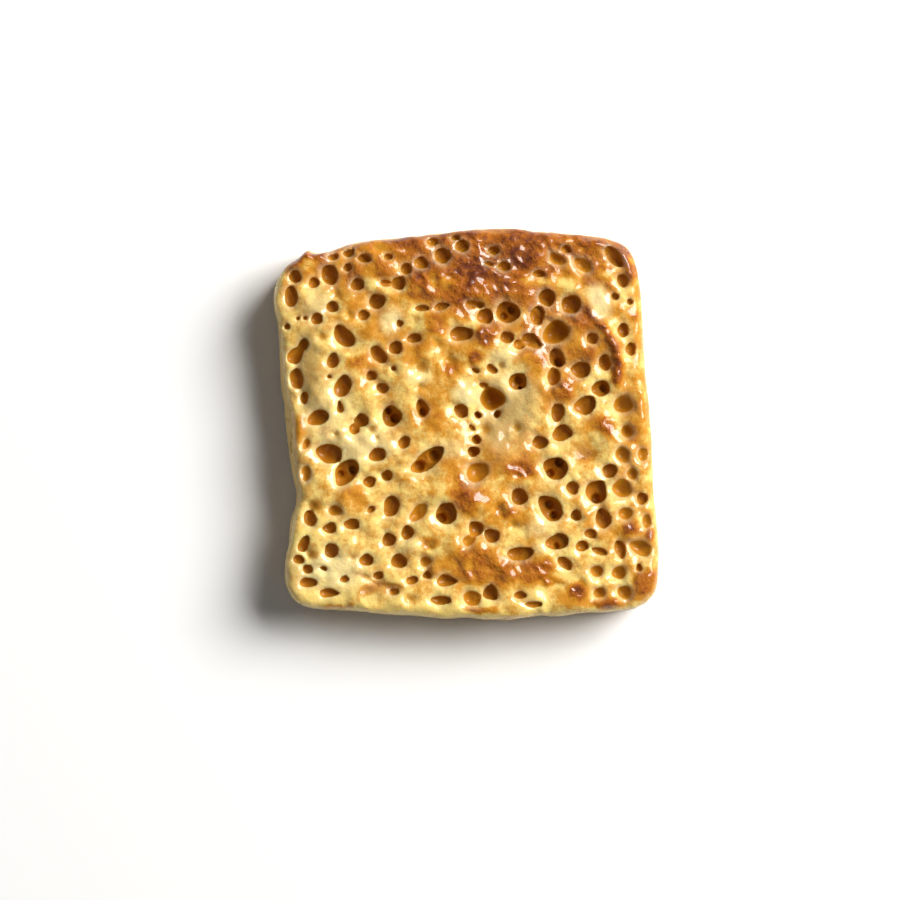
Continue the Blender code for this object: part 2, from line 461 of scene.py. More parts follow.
BACK_MIDDLE = tunnels(
    (-15.1, 38.9, 2.8, 2.5), (-11.3, 40.4, 3.4, 2.7, -15), (-6, 42.2, 4, 3.6), (-8.5, 45.7, 2.8, 1.8),
    (-1.1, 44.6, 3.3, 2.8), (-2.8, 46.8, 2, 1.3), (6.9, 43.5, 2.6, 2.1), (9.5, 39.5, 3, 2.2, -15),
    (5.6, 40.1, 2.2, 0.9, -15), (-11.1, 29, 3.2, 1.4), (-6.3, 29.4, 3.6, 1.6, 15),
    (1.3, 30, 2.8, 1.8), (3.4, 29.9, 1.8, 1.6), (4.7, 27, 3.8, 3.7), (-1.3, 22.6, 5.6, 3.4),
    (-13.1, 21.5, 3.4, 2.2, 10), (10.2, 21.7, 3.2, 2.8), (13.2, 19.9, 2.6, 2.2),
) + blisters((-6.2, 20, 3, 2)) + (
    Bubble(Oval(10.4, 28, 5.6, 5.2), wells=((0.35, 0.25, 1.0), (-0.35, -0.3, 0.9))),
)

BACK_RIGHT = tunnels(
    (20.2, 31.7, 4, 3.9), (26.3, 30, 4.6, 4.5), (17.8, 27.2, 4.4, 3.5, 80), (16.3, 20.9, 5, 3, -25),
    (31.5, 21.4, 2.7, 2.5), (34.7, 15.4, 3.8, 2.8, -75),
    (39.3, 23.5, 3.3, 2.7, 90), (41.2, 18.8, 3.2, 2.2, 90), (39.2, 36, 3.4, 2.4, -70),
    (37, 42, 5.8, 3, -50), (25, 43.8, 2.4, 1.8), (18.2, 37.7, 3, 1.6),
    (37.3, 32, 1.8, 1.6), (41, 30.7, 1.4, 1.4),
) + bowls((29.3, 40, 5, 3, -30), (22.8, 41.4, 4.6, 2.6, -25)) + (
    Bubble(Oval(22.4, 23, 6.6, 5.4, 20), Kind.BOWL, deep=1.6),
    Bubble(Oval(22.7, 16.5, 4.6, 3.6, -70), wells=((0.45, 0.1, 1.1),)),
)

MIDDLE_LEFT = tunnels(
    (-42.7, 11.4, 5, 3.4, 90), (-40.7, 6.6, 2.9, 1.9, 90), (-34.4, 11.9, 1, 0.9), (-31, 9.5, 5.4, 4, 60),
    (-31.7, 4.4, 3, 1.4, 100, 0.5), (-37.2, 1.6, 5.6, 3.4, 15), (-26.3, 0.9, 3.6, 3),
    (-28.1, -1.2, 2.6, 2.4), (-34.4, -7.4, 6.3, 4.8, -10),
    (-22.3, -7.7, 4.1, 3.2, 15), (-24.3, -14.5, 2.8, 2.7),
    (-19.9, -12.9, 2.7, 2.5), (-23.8, 12.1, 2.5, 2.4), (-21, 9, 3, 2.3, -20), (-18.2, 13.9, 1.2, 1.2),
) + bowls((-40.2, -5, 2.9, 1.7, 70), (-40.2, -12.4, 4.2, 2.5, 90)) + blisters(
    (-43.6, 6.9, 1.6, 1.5), (-23.6, -1.3, 1.7, 1.6), (-32.6, -2.5, 1.4, 1.3), (-22.4, -3.3, 1.2, 1.2),
) + (
    Bubble(Oval(-18.7, 2, 5.2, 4.6, 90), wells=((0.55, 0.35, 0.8), (-0.2, -0.35, 1.2))),
    Bubble(Oval(-30.1, -12.1, 7.6, 4.6, 50), wells=((-0.35, 0.4, 0.8), (0.35, -0.35, 1.1))),
)

MIDDLE = tunnels(
    (1.4, -0.9, 1.9, 1, -40), (-15.6, -4.6, 3.1, 2.6, 70), (4.3, 9.8, 2.1, 1.2),
    (6.4, 13.8, 2.9, 1.7, -30), (2.3, 13.4, 1.9, 1, -30),
) + blisters(
    (5, -1.2, 2.4, 2.4), (8.8, 14.7, 1.8, 1.7), (-4, 16.2, 2.4, 2.3), (-11, 14.4, 3.4, 3.2),
    (12.9, -0.9, 2.2, 2.2), (-11.5, 9.5, 1.4, 1.3),
) + (
    Bubble(Oval(2.9, 2.3, 1.9, 1.5, -30), deep=1.6),
    Bubble(Oval(7.8, 2.5, 2.2, 1.4, 50), deep=1.5),
    Bubble(Oval(2.5, -3.9, 2.2, 2.1), deep=1.4),
    Bubble(Oval(1.8, -6.9, 2.9, 2.4), deep=1.6),
    Bubble(Oval(-11.1, 3.9, 4.2, 2.9, 105), wells=((-0.4, 0.0, 1.0),)),
    Bubble(Oval(-1.3, 3.3, 3.7, 3, -55), webs=((0.0, 0.0),)),
    Bubble(
        Oval(-9.7, -9, 9.6, 4, 35), wells=((-0.55, 0.0, 1.3), (0.4, 0.0, 1.4)), webs=((-0.12, 20.0),)
    ),
    Bubble(Oval(3, -12, 6, 4.5, 20), Kind.BOWL, 0.3),
    Bubble(Oval(6.5, 6.4, 6, 5.6), Kind.BOWL, deep=1.8),
    Bubble(Oval(12.9, 10.7, 4.2, 4.2), wells=((0.1, 0.15, 1.1), (0.3, -0.8, 0.6))),
)

MIDDLE_RIGHT = tunnels(
    (21.9, 11.9, 4.2, 3, 80), (28.7, 13.6, 4.6, 3.8, -10), (29.8, 4.7, 5.4, 4.3, 20),
    (22.9, 2.9, 4.3, 3.2, 75), (24, -2.3, 5, 3.6, 20), (18.5, -4.6, 3.6, 3.1),
    (36, -11.7, 3.4, 3.3), (26.6, -16, 3.2, 2.8, -50),
) + bowls(
    (39.4, 5, 4.6, 4.5), (40.3, -1.8, 3.4, 2.8, -80), (39.2, -7.7, 4.1, 3.5, -60),
    (44.3, -7.6, 3.4, 2.6, 90), (41.6, -12.5, 3, 2.5, -70), (39.1, -16.1, 4.8, 4.6, 90),
) + (
    Bubble(Oval(33.7, 8.9, 4.4, 3.7, 10), wells=((0.35, 0.0, 1.0),)),
    Bubble(Oval(32.6, -17, 5.8, 5, 90), wells=((-0.6, 0.0, 1.2),)),
    Bubble(Oval(22.4, -11.1, 5.9, 5.5), wells=((0.35, 0.5, 1.1), (-0.45, -0.45, 1.0))),
)

FRONT_LEFT = tunnels(
    (-39.2, -23.7, 3.9, 3, -55), (-34.4, -26.1, 3.5, 2.3, 5, -0.4), (-28.7, -25.1, 3.6, 2.6),
    (-23.9, -21.4, 1.9, 1.4, 30), (-18.8, -20.6, 5.1, 3.8, 75),
    (-40.8, -30.1, 4.1, 2.4, 65), (-33.8, -31.7, 3.5, 3.4), (-42.1, -34, 2.6, 2.1),
    (-39.8, -36.4, 2.3, 2.2), (-35.8, -36.2, 1.7, 1, -20), (-25.1, -34.1, 3.4, 2.7, 15),
    (-19.4, -29, 3.3, 3.1), (-16.9, -34.4, 4, 3.3), (-22.1, -38, 2.5, 1.8), (-30.6, -38.9, 2.2, 1.5, 15),
    (-39.7, -39.8, 4.1, 2.3), (-34.3, -42.4, 4.8, 1.9, 0, 0.5), (-18.1, -42.1, 2.2, 1.5),
) + blisters(
    (-28.2, -33.3, 2, 1.2, 30), (-37.7, -20.3, 4, 3.5), (-38.5, -32.5, 3.4, 2.6),
) + bowls((-32.8, -21.7, 3.8, 2.5))

FRONT_MIDDLE = tunnels(
    (-14.8, -27.2, 3.5, 2.8, 65), (2.4, -26.2, 3.7, 3.4, -60), (6.4, -28, 3.6, 3.4),
    (13.3, -18.2, 4, 3.9), (13.5, -32.5, 6.2, 3.3, 5), (-9.8, -37.8, 2, 1.9, 90, 0.5),
    (-13.6, -39.2, 3, 1.7, 15), (-4.8, -39.3, 4.6, 2.7, 0, 0.4), (-6.4, -44.2, 5.2, 1.9),
    (6.1, -42.1, 3.7, 3.5, 90, 0.4), (13.5, -42.9, 3, 1.7), (16.9, -45.2, 4, 1.4),
) + bowls(
    (1.5, -43.7, 4.4, 3.9, -20), (-12, -22.2, 5.6, 3.2, 45), (0.6, -29.2, 3.4, 2.4, 25),
    (-10.2, -34.5, 3, 2.4),
) + blisters(
    (-13.7, -43.6, 2.6, 1.6), (-8.9, -30.2, 2, 1.9), (9.2, -21.3, 2.4, 2.6), (12, -25.3, 1.8, 1.6),
) + (
    Bubble(Oval(-5, -22.3, 5.4, 4.9, 90), point=0.25, wells=((-0.5, 0.5, 1.2),)),
)

FRONT_RIGHT = tunnels(
    (27.5, -22.9, 2.6, 2.5), (34.3, -23.7, 4.6, 3.8, -70), (44.1, -18.7, 2.9, 2.4, 90),
    (31.1, -27.5, 3, 2, -15), (29, -30.6, 3.2, 2.4, 5), (33.4, -31.9, 3.8, 1.5, -15),
    (38.6, -31.4, 4.6, 2.4, -75), (24.7, -34.9, 4, 2.4, -42), (43.3, -36, 1.3, 1.8),
) + bowls(
    (39.9, -22.4, 3.7, 2.9), (45.3, -24.4, 3.6, 2.2, 90), (33.4, -42.3, 3.1, 2.6), (32.7, -36.9, 3.1, 3),
    (38.3, -37.3, 3.5, 3.3), (39.7, -42.2, 3.6, 3.4),
) + (
    Bubble(Oval(21.1, -21.1, 7, 5, -45), wells=((-0.2, 0.2, 1.2), (0.55, -0.25, 1.0))),
    Bubble(Oval(22.8, -29.5, 5.8, 3.6, 15), wells=((-0.2, -0.6, 0.8),), webs=((-0.5, 0.0),)),
) + bowls((43.8, -31.1, 6, 3.6, -20))

BUBBLES = (
    BACK_LEFT + BACK_MIDDLE + BACK_RIGHT + MIDDLE_LEFT + MIDDLE + MIDDLE_RIGHT
    + FRONT_LEFT + FRONT_MIDDLE + FRONT_RIGHT
)

BROWNED = patches(
    # broad washes: the back, the right side, the middle of the front, and the whole top
    (0, 43, 110, 20, 0.76), (15, 21, 14, 12, 0.28), (0, 49, 110, 8, 0.5), (6, 34, 40, 18, 0.5),
    (20, 40, 26, 10, 0.45), (23, 22, 24, 30, 0.48), (44, 0, 13, 96, 0.26), (33, 33, 16, 12, 0.32),
    (5, -20, 18, 26, 0.16), (6, -35, 44, 10, 0.25), (37, -27, 18, 22, 0.16), (30, -43, 20, 8, 0.25),
    (5, -9, 22, 9, 0.22), (-10, 15, 26, 26, 0.1), (-25, 29, 24, 22, 0.24), (11, -5, 13, 14, 0.3),
    (0, 0, 120, 120, 0.22),
    # the glossy patch towards the back, and the back edge
    (0, 35, 24, 10, 0.6, -5), (-10, 32, 6, 4, 0.4), (2, 40, 7, 4, 0.45), (13, 41, 6, 4, 0.45),
    (8, 47, 12, 2.5, 0.6), (-22, 39, 9, 7, 0.4), (28, 27, 8, 7, 0.65), (5, 22.5, 9, 5, 0.95, 90),
    (30, 36, 9, 5, 0.5),
    # left of the middle
    (-8, 25, 6, 5, 0.5), (-12, 19, 10, 8, 0.15), (-25, 16, 9, 6, 0.35), (-28, 15.5, 6, 3, 0.5),
    (-9, 2, 8, 10, 0.35), (-3.6, 14.5, 5, 4, 0.7), (2.5, 17, 3, 4, 0.9), (-27.7, -18.6, 8, 6, 0.3),
    (-9, -30, 4, 3, 0.6),
    # right of the middle
    (37.5, 14, 3, 8, 0.85), (35.3, -0.4, 4, 5, 0.8), (32, 0, 4, 4, 0.5), (0.9, -17.5, 10, 9, 0.95),
    (29.5, -7.5, 6, 5, 0.6), (13.5, -11.6, 8, 5, 0.9), (24, 8, 8, 7, 0.5, 45), (28, 18, 6, 4, 0.25),
    (9.5, -21.5, 4, 4, 0.6), (13, -23.5, 8, 3, 0.3, -25), (41.5, -2, 4, 4, 0.35), (5, 21, 9, 6, 0.4),
    # the wide band at the front, and the front right corner
    (8, -36, 28, 9, 0.52, -5), (12, -40, 10, 4, 0.2), (2, -38, 6, 4, 0.4), (20, -36, 6, 5, 0.6),
    (28, -42, 6, 5, 0.75), (34, -45, 10, 3, 0.7), (44.5, -39.3, 9, 6, 0.65, 70), (41, -26, 4, 3.5, 0.8),
    (46, -27.5, 2.5, 3, 0.9), (42, 27, 4, 6, 0.4), (3, -46.5, 8, 2, 0.8), (-24.5, -41.8, 5, 3, 0.65),
    (-18, -42, 4, 2, 0.6), (-33, -45.8, 10, 2, 0.45), (-41.5, -1, 3, 8, 0.45),
)

# pale patches: partly batter that stayed unbrowned, partly painted highlight, such as the bright wedge
# at the back right
PALE_AND_HIGHLIGHT_PATCHES = patches(
    (33.5, 31, 6, 13, 1, 25), (10, 4, 19, 26, 0.5), (9, 17, 10, 6, 0.7, 20), (-34, 4, 14, 22, 0.5),
    (-37, 30, 8, 10, 0.6, -20), (-33, -36, 20, 12, 0.9), (-12, 12, 7, 5, 0.7), (-19, 26, 7, 8, 0.85),
    (-26, -5, 22, 12, 0.75), (0, 7, 7, 7, 0.95), (18, -26, 7, 5, 0.5), (19, -31, 6, 3, 0.5),
    (-14, -30, 8, 5, 0.4), (-4, -6, 14, 6, 0.4),
)

# painted shade: greyish darkening over the hollow in the middle, the left valley, the front left corner
# and other low places
PAINTED_SHADE_PATCHES = patches(
    (9, 1, 13, 18, 1), (14, 7, 9, 12, 0.7), (-40, 15, 9, 32, 0.95), (-42, -14, 7, 20, 0.6),
    (-43, -38, 6, 14, 0.6), (-22, -41.5, 12, 5, 0.5), (29, -7, 8, 6, 0.5), (-36, 28, 5, 14, 0.5),
)

SWELLS = patches(
    (0, 35, 20, 20, 0.8), (34, 21, 14, 14, 0.7), (2, -18, 10, 10, 0.9), (12, -36, 18, 18, 0.7),
    (44, -38, 12, 12, 0.7), (-12, 16, 12, 12, 0.5), (-24, 40, 12, 12, 0.4), (-28, -18, 14, 14, 0.4),
    (8, 3, 16, 16, -1.4), (-39, 9, 12, 12, -0.8), (-47, 12, 18, 50, -1.3), (31, -7, 8, 8, -1.2),
    (22, -42.5, 8, 8, -0.9), (-23, -41, 10, 10, -0.7), (18, 8, 10, 10, -0.5),
    (28.8, -38.8, 5, 3.5, -0.7, -30),
)

FOLDS = (
    Fold(((31, 28), (34.5, 24), (37.3, 19.5), (38.4, 15), (37.8, 11)), 0.7, 2.2, 0.97),
    Fold(((29, 45.5), (34, 45.4), (38.6, 43), (41, 39), (41.2, 36)), 0.45, 2.0, 0.97),
    Fold(((-30, -37.8), (-26, -38), (-22.5, -40.3), (-17, -41)), -0.6, 1.6, 0.4),
    Fold(((20, -40), (22, -39), (24, -39.3)), 0.4, 1.6, 0.5),
    Fold(((2, 38), (0.5, 34), (-1.5, 31)), 0.35, 1.6, 0.9),
    Fold(((-43.5, 39.8), (-40.5, 42.6), (-37, 42.4)), 0.9, 2.4, 0.85),
)

OUTLINE = Outline((
    (-41.0, -45.0), (-33.0, -46.5), (-14.0, -48.0), (6.0, -48.7), (24.0, -47.7), (38.0, -46.6),
    (43.5, -45.3), (47.2, -41.0), (48.4, -33.0), (47.0, -17.0), (46.3, 0.0), (44.6, 17.0), (43.8, 31.0),
    (42.3, 39.3), (38.5, 45.1), (28.0, 47.6), (8.0, 48.7), (-10.0, 47.5), (-26.0, 45.4), (-36.2, 42.8),
    (-39.4, 43.5), (-42.2, 41.6), (-45.0, 39.4), (-47.2, 35.6), (-48.0, 31.0), (-47.0, 23.0),
    (-46.5, 11.0), (-45.0, -1.0), (-43.7, -12.0), (-42.4, -18.5), (-44.0, -25.0), (-45.2, -35.0),
    (-44.5, -41.0),
))


# ------------------------------------------------------------------- the skin


@dataclass(frozen=True)
class Grid:
    """A grid of points that a solid is grown on.

    Attributes:
        low: Its lowest corner.
        high: Its highest corner.
        cell: The space between two points.
    """

    low: tuple[float, float, float]
    high: tuple[float, float, float]
    cell: float

    def axis(self, number: int) -> Array:
        """The coordinates of its points along one axis."""
        count = round((self.high[number] - self.low[number]) / self.cell) + 1
        return self.low[number] + self.cell * np.arange(count)

    def plan(self) -> tuple[Array, Array]:
        """Its columns' places, across and front to back."""
        x, y = np.meshgrid(self.axis(0), self.axis(1), indexing="ij")
        return x, y

    def window(self, x: float, y: float, reach: float) -> tuple[slice, slice]:
        """The columns within reach of a place.

        Args:
            x: The place, across.
            y: The place, front to back.
            reach: How far to look.

        Returns:
            Its columns across, and front to back.
        """
        found = []
        for place, number in ((x, 0), (y, 1)):
            first = math.floor((place - reach - self.low[number]) / self.cell)
            last = math.ceil((place + reach - self.low[number]) / self.cell) + 1
            found.append(slice(max(0, first), max(0, last)))
        return found[0], found[1]

    def read(self, plan: Array, x: Array, y: Array) -> Array:
        """A plan's values between its columns.

        Args:
            plan: One value for each column.
            x: Places across.
            y: Places front to back.

        Returns:
            The values at those places.
        """
        a = np.clip((x - self.low[0]) / self.cell, 0, plan.shape[0] - 1.001)
        b = np.clip((y - self.low[1]) / self.cell, 0, plan.shape[1] - 1.001)
        i, j = a.astype(int), b.astype(int)
        s, t = a - i, b - j
        near = plan[i, j] * (1 - t) + plan[i, j + 1] * t
        far = plan[i + 1, j] * (1 - t) + plan[i + 1, j + 1] * t
        return near * (1 - s) + far * s

    def skin(self, field: Array) -> tuple[Array, Array]:
        """The skin round where a field is negative.

        Args:
            field: One value for each point of the grid.

        Returns:
            The skin's points, and its four-sided faces.
        """
        inside = field < 0.0
        shape = tuple(n - 1 for n in field.shape)
        corners = list(itertools.product((0, 1), repeat=3))
        held = sum(self._shifted(inside, corner, shape).astype(np.int8) for corner in corners)
        cells = np.argwhere((held > 0) & (held < 8))
        total = np.zeros((len(cells), 3))
        count = np.zeros(len(cells))
        for start in corners:
            for axis in range(3):
                if start[axis]:
                    continue
                end = tuple(1 if n == axis else bit for n, bit in enumerate(start))
                a = field[tuple((cells + start).T)].astype(float)
                b = field[tuple((cells + end).T)].astype(float)
                cut = (a < 0.0) != (b < 0.0)
                t = a[cut] / (a[cut] - b[cut])
                at = cells[cut] + np.array(start, float)
                at[:, axis] += t
                total[cut] += at
                count[cut] += 1
        points = np.array(self.low) + self.cell * total / count[:, None]
        number = np.full(shape, -1, np.int32)
        number[tuple(cells.T)] = np.arange(len(cells))
        return self._largest(points, self._faces(inside, number))

    @staticmethod
    def _shifted(values: Array, corner: tuple[int, ...], shape: tuple[int, ...]) -> Array:
        """Each cell's value at one of its corners."""
        return values[tuple(slice(bit, bit + n) for bit, n in zip(corner, shape))]

    @staticmethod
    def _faces(inside: Array, number: Array) -> Array:
        """A face across each line of the grid that leaves or enters the solid.

        Args:
            inside: Whether each point of the grid is in the solid.
            number: The skin's point in each cell, or -1.

        Returns:
            Four points for each face.
        """
        faces = []
        for a in range(3):
            b, c = (a + 1) % 3, (a + 2) % 3
            first = inside.take(range(inside.shape[a] - 1), a)
            last = inside.take(range(1, inside.shape[a]), a)
            for leaves in (True, False):
                at = np.argwhere((first & ~last) if leaves else (last & ~first))
                step_b, step_c = np.eye(3, dtype=int)[b], np.eye(3, dtype=int)[c]
                ring = [at - step_b - step_c, at - step_c, at, at - step_b]
                if not leaves:
                    ring.reverse()
                faces.append(np.stack([number[tuple(p.T)] for p in ring], axis=1))
        return np.concatenate(faces)

    @staticmethod
    def _largest(points: Array, faces: Array) -> tuple[Array, Array]:
        """Only the largest joined piece, without loose crumbs.

        Args:
            points: The skin's points.
            faces: Its faces.

        Returns:
            The kept points and faces.
        """
        label = np.arange(len(points))
        while True:
            lowest = label.copy()
            least = label[faces].min(axis=1)
            for corner in range(4):
                np.minimum.at(lowest, faces[:, corner], least)
            lowest = lowest[lowest]
            if (lowest == label).all():
                break
            label = lowest
        kept = label == np.bincount(label).argmax()
        new = np.cumsum(kept) - 1
        return points[kept], new[faces[kept[faces[:, 0]]]]


# ------------------------------------------------------------------- the nodes


class Wire:
    """A shader socket that sums can be written with."""

    def __init__(self, board: "Board", socket: bpy.types.NodeSocket) -> None:
        """Hold a socket of a board."""
        self.board = board
        self.socket = socket

    def sum(self, operation: str, other: "Wire | float") -> "Wire":
        """This socket and another value through one maths node."""
        return self.board.add("ShaderNodeMath", {"operation": operation}, {0: self, 1: other})

    def __add__(self, other: "Wire | float") -> "Wire":
        """Add."""
        return self.sum("ADD", other)

    __radd__ = __add__

    def __mul__(self, other: "Wire | float") -> "Wire":
        """Multiply."""
        return self.sum("MULTIPLY", other)

    __rmul__ = __mul__

    def __sub__(self, other: "Wire | float") -> "Wire":
        """Take away."""
        return self.sum("SUBTRACT", other)

    def __rsub__(self, other: float) -> "Wire":
        """Take this away from a number."""
        return (self * -1.0) + other

    def ramp(self, low: float, high: float) -> "Wire":
        """Rise smoothly from 0 at low to 1 at high."""
        settings = {"interpolation_type": "SMOOTHSTEP"}
        return self.board.add("ShaderNodeMapRange", settings, {0: self, 1: low, 2: high, 3: 0.0, 4: 1.0})

    def clipped(self) -> "Wire":
        """Held between 0 and 1."""
        return self.board.add("ShaderNodeClamp", {}, {0: self})


class Board:
    """A material's nodes."""

    def __init__(self, name: str) -> None:
        """Start a new material.

        Args:
            name: Its name.
        """
        self.material = bpy.data.materials.new(name)
        self.material.use_nodes = True
        self.tree = self.material.node_tree
        self.shader = self.tree.nodes["Principled BSDF"]

    def add(self, kind: str, settings: dict[str, object], values: dict, output: int | str = 0) -> Wire:
        """Add a node.

        Args:
            kind: The node's type.
            settings: Its settings, which are set first.
            values: What goes into its sockets, by number or name.
            output: Which of its sockets comes out.

        Returns:
            That socket.
        """
        node = self.tree.nodes.new(kind)
        for name, value in settings.items():
            setattr(node, name, value)
        for name, value in values.items():
            self.feed(node.inputs[name], value)
        return Wire(self, node.outputs[output])

    def feed(self, socket: bpy.types.NodeSocket, value: object) -> None:
        """Link a wire to a socket, or set the socket to a value.

        Args:
            socket: What is fed.
            value: A wire or a plain value.
        """
        if isinstance(value, Wire):
            self.tree.links.new(value.socket, socket)
        else:
            socket.default_value = value

    def mix(self, amount: Wire, a: Wire | Tone, b: Wire | Tone) -> Wire:
        """One colour turning into another."""
        return self.add("ShaderNodeMix", {"data_type": "RGBA"}, {0: amount, 6: a, 7: b}, 2)

    def painted(self, name: str) -> Wire:
        """A value that the mesh carries at each point."""
        return self.add("ShaderNodeAttribute", {"attribute_name": name}, {}, "Fac")

    def noise(self, size: float, detail: float = 2.0, rough: float = 0.5, warp: float = 0.0) -> Wire:
        """Cloudy noise.

        Args:
            size: How far apart its lumps are, in millimetres.
            detail: How many finer sizes it holds.
            rough: How strong the finer ones are.
            warp: How far it is pulled about.

        Returns:
            Its strength, from 0 to 1.
        """
        place = self.add("ShaderNodeTexCoord", {}, {}, "Object")
        values = {"Vector": place, "Scale": 1 / (size * MM), "Detail": detail}
        return self.add("ShaderNodeTexNoise", {}, values | {"Roughness": rough, "Distortion": warp})

    def cells(self, size: float) -> Wire:
        """Cells round scattered points.

        Args:
            size: How far apart the points are, in millimetres.

        Returns:
            Distance to the nearest point.
        """
        place = self.add("ShaderNodeTexCoord", {}, {}, "Object")
        values = {"Vector": place, "Scale": 1 / (size * MM)}
        return self.add("ShaderNodeTexVoronoi", {"feature": "F1"}, values)

    def bump(self, height: Wire, millimetres: float, strength: float = 1.0) -> Wire:
        """A bumped normal, for a height of this many millimetres."""
        values = {"Strength": strength, "Distance": millimetres * MM, "Height": height}
        return self.add("ShaderNodeBump", {}, values)


def tone(red: float, green: float, blue: float) -> Tone:
    """A colour from the everyday 0 to 255 numbers, as light.

    Args:
        red: How red.
        green: How green.
        blue: How blue.

    Returns:
        The colour as a shader takes it, quite opaque.
    """
    parts = (red / 255, green / 255, blue / 255)
    light = [c / 12.92 if c <= 0.04045 else ((c + 0.055) / 1.055) ** 2.4 for c in parts]
    return (light[0], light[1], light[2], 1.0)


@dataclass(frozen=True)
class Crust:
    """The finish of griddled batter: pale, golden, browned and open, with painted light and shade.

    Attributes:
        cream: Batter that is cooked but not coloured.
        golden: Batter that has just turned.
        toasted: Batter that is well browned.
        burnt: The darkest spots.
        amber: The wall of an open bubble, near its mouth.
        lower_wall_shade: The same, darker further down: painted shade.
        deep_shade: The floor of a deep one, darker still: painted shade.
        film: The thin skin over a bubble.
        flank: The sides.
        scorched: The sides where they met the hot ring and the griddle.
        griddled: The base.
        palest_and_highlight: The palest places, partly unbrowned batter and partly painted highlight.
        painted_shade: Painted shade, greyish, over hollows and slopes turned from the light.
        lip_and_highlight: The pale thin edge of a mouth, mostly painted highlight on its lit front left
            side.
    """

    cream: Tone = tone(245, 214, 124)
    golden: Tone = tone(210, 143, 34)
    toasted: Tone = tone(173, 97, 12)
    burnt: Tone = tone(108, 48, 22)
    amber: Tone = tone(190, 126, 24)
    lower_wall_shade: Tone = tone(174, 110, 14)
    deep_shade: Tone = tone(150, 84, 8)
    film: Tone = tone(200, 146, 44)
    flank: Tone = tone(228, 190, 120)
    scorched: Tone = tone(188, 120, 48)
    griddled: Tone = tone(176, 104, 38)
    palest_and_highlight: Tone = tone(248, 230, 174)
    painted_shade: Tone = tone(180, 145, 84)
    lip_and_highlight: Tone = tone(255, 239, 192)

    def dress(self, piece: bpy.types.Object) -> None:
        """Put the finish on a piece.

        Args:
            piece: It carries a value at each point for each name that is read here.
        """
        board = Board("crumpet_crust")
        toast, sunk, film, pale, painted_shade, lip_and_highlight, side, base, heat = map(board.painted, PAINTED)
        broad = board.noise(9.0, 2.0)
        middle = board.noise(2.6, 3.0, 0.6)
        small = board.noise(0.9, 2.0)
        grain = board.noise(0.35, 1.0)
        creased = board.noise(2.0, 3.0, 0.55, 1.6)
        strands = board.noise(1.2, 3.0, 0.6, 2.6)
        warm = toast * (1.0 - pale * 0.7) * 0.92
        warm = warm + (broad - 0.5) * 0.5 + (middle - 0.5) * 0.75
        warm = warm + (small - 0.5) * 0.32 + (grain - 0.5) * 0.2
        colour = board.mix(warm.ramp(0.0, 0.42), self.cream, self.golden)
        colour = board.mix(warm.ramp(0.36, 0.78), colour, self.toasted)
        colour = board.mix(warm.ramp(0.74, 1.04), colour, self.burnt)
        # pale patches, partly unbrowned batter and partly painted highlight
        colour = board.mix(pale * 0.65, colour, self.palest_and_highlight)
        # painted shade: greyish darkening in hollows and on slopes turned from the light
        colour = board.mix(painted_shade * 0.8, colour, self.painted_shade)
        # painted highlight on the lit front left rim of each mouth, with a little paleness all round
        colour = board.mix(lip_and_highlight * 0.45, colour, self.lip_and_highlight)
        colour = board.mix(film * 0.7, colour, self.film)
        # painted shade: the bubble walls darken the deeper they go
        wall = board.mix(sunk.ramp(0.6, 3.0), self.amber, self.lower_wall_shade)
        wall = board.mix(sunk.ramp(2.4, 6.5), wall, self.deep_shade)
        colour = board.mix(sunk.ramp(0.15, 0.55), colour, wall)
        met = heat + (broad - 0.5) * 0.9 + (middle - 0.5) * 0.7 + (small - 0.5) * 0.3
        flank = board.mix(met.ramp(0.1, 0.9), self.flank, self.scorched)
        colour = board.mix(side, colour, flank)
        colour = board.mix(base, colour, self.griddled)
        shader = board.shader
        board.feed(shader.inputs["Base Color"], colour)
        board.feed(shader.inputs["Roughness"], 0.44 + middle * 0.16 + side * 0.2)
        shader.inputs["Specular IOR Level"].default_value = 0.16
        wet = 0.3 + (small * 0.4 + broad * 0.6).ramp(0.35, 0.65) * 0.5
        wet = wet + lip_and_highlight * 0.9 + pale * 0.5 - painted_shade * 0.4
        wet = wet * (1.0 - side) * (1.0 - sunk.ramp(0.4, 0.9) * 0.85)
        board.feed(shader.inputs["Coat Weight"], wet.clipped())
        shader.inputs["Coat Roughness"].default_value = 0.12
        shader.inputs["Coat IOR"].default_value = 1.6
        shader.inputs["Subsurface Weight"].default_value = 0.4
        shader.inputs["Subsurface Radius"].default_value = (1.0, 0.62, 0.25)
        shader.inputs["Subsurface Scale"].default_value = 2.0 * MM
        height = middle * 0.3 + small * 0.3 + grain * 0.22 + board.cells(0.8) * 0.12
        height = height + creased * (0.25 + warm.ramp(0.5, 0.9) * 0.9) + strands * 0.45
        board.feed(shader.inputs["Normal"], board.bump(height, 0.33, 0.9))
        piece.data.materials.append(board.material)


# ------------------------------------------------------------------ the sponge


